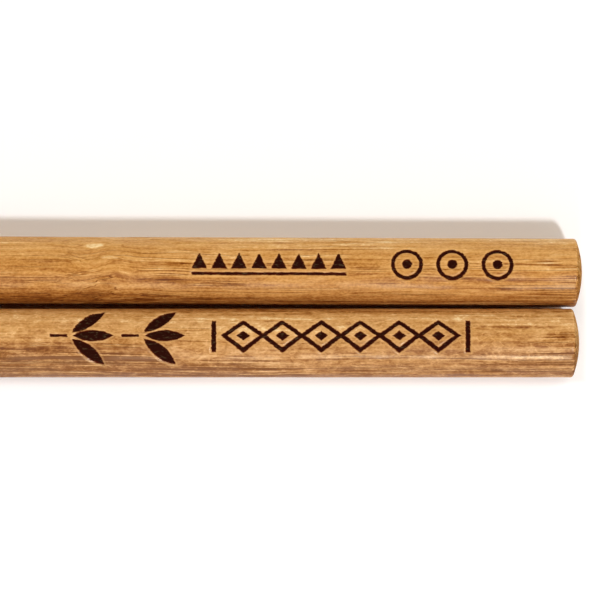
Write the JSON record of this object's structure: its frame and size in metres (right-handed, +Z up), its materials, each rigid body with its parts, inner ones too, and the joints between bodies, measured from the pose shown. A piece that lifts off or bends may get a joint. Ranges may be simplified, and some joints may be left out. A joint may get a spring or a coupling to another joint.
{
  "type": "pair of chopsticks",
  "caption": "Round tapering bamboo chopsticks lying side by side as a pair, with domed handle ends and shallow burned traditional patterns.",
  "frame": {"origin": "middle of the pair's box, on the surface under it", "axes": "+X along the sticks towards the handle ends, +Y from the front stick to the back one, +Z up"},
  "size_m": [0.2304, 0.0158, 0.0075],
  "materials": {
    "back_bamboo": "heat-darkened bamboo, fine lengthwise grain, satin, with burned marks",
    "front_bamboo": "heat-darkened bamboo, fine lengthwise grain, satin, with burned marks"
  },
  "bodies": {
    "root": {"back_chopstick": "back_bamboo", "front_chopstick": "front_bamboo"}
  },
  "joints": []
}
